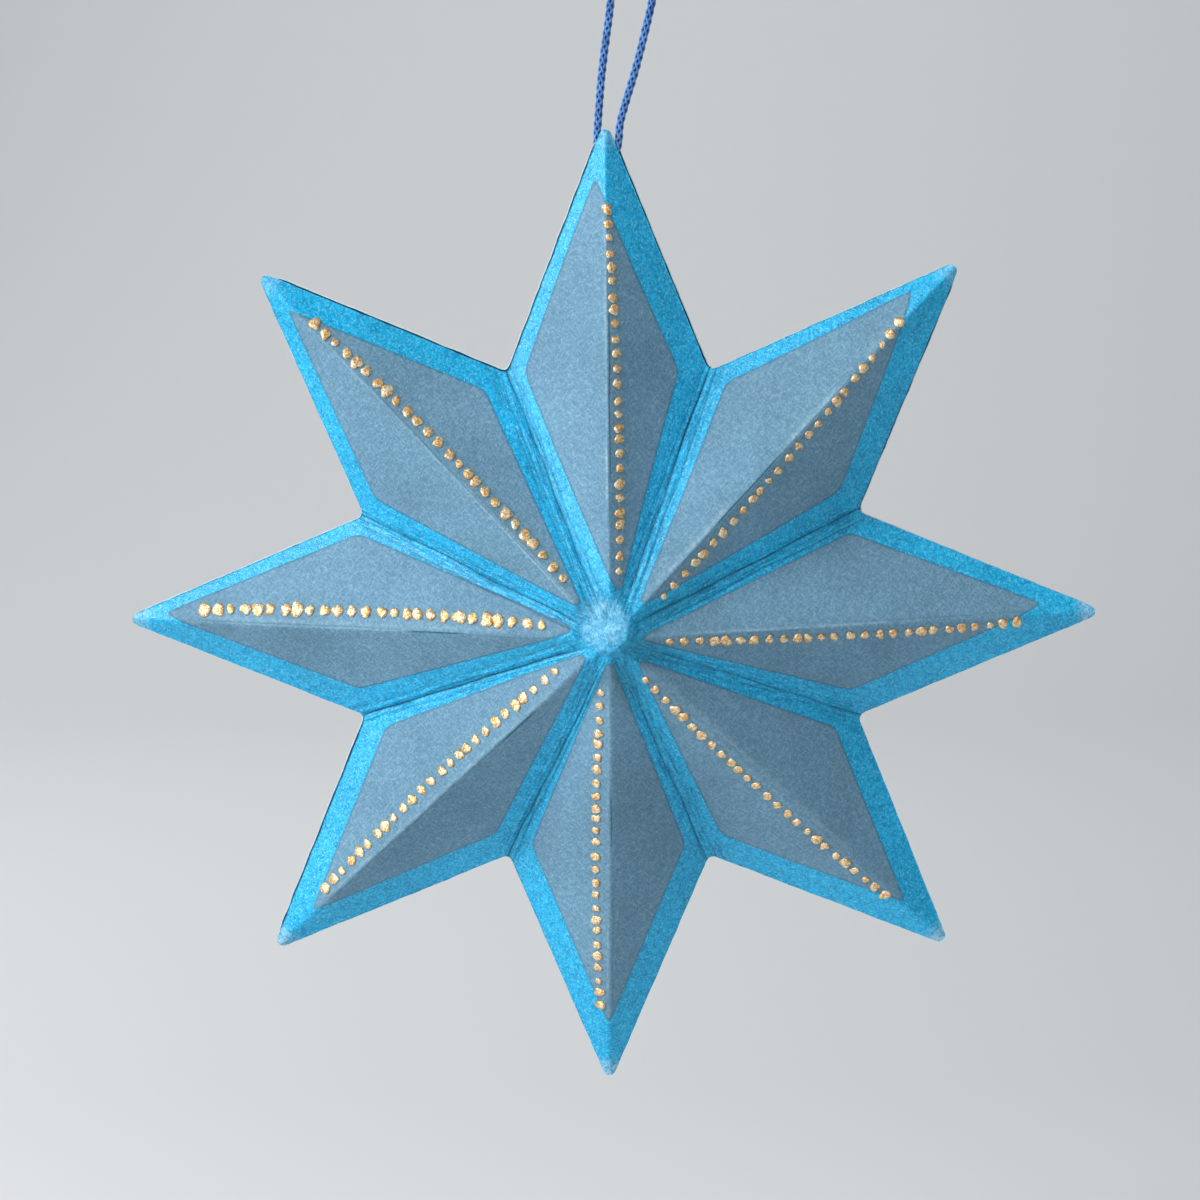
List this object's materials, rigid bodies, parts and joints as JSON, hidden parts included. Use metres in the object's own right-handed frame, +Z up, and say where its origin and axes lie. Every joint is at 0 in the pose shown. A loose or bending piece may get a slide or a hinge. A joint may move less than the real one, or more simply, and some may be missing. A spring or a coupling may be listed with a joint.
{
  "type": "folded paper star ornament",
  "caption": "Hollow, double-sided folded paper star with long pointed rays, printed fields and dotted ridges, hung from a loop of thin braided cord.",
  "frame": {"origin": "inside of the top of the hanging loop, where the star hangs from a twig or hook", "axes": "+Z up along the star's top ray, -Y out of the front face, +X to the viewer's right"},
  "size_m": [0.1492, 0.0418, 0.1832],
  "materials": {
    "front_paper": "pearly handmade paper with matte grey-blue printed fields",
    "back_paper": "pearly handmade paper with matte grey-blue printed fields",
    "cord": "braided cotton"
  },
  "bodies": {
    "root": {"front_star": "front_paper", "back_star": "back_paper", "hanging_cord": "cord", "cord_knot": "cord"}
  },
  "joints": []
}
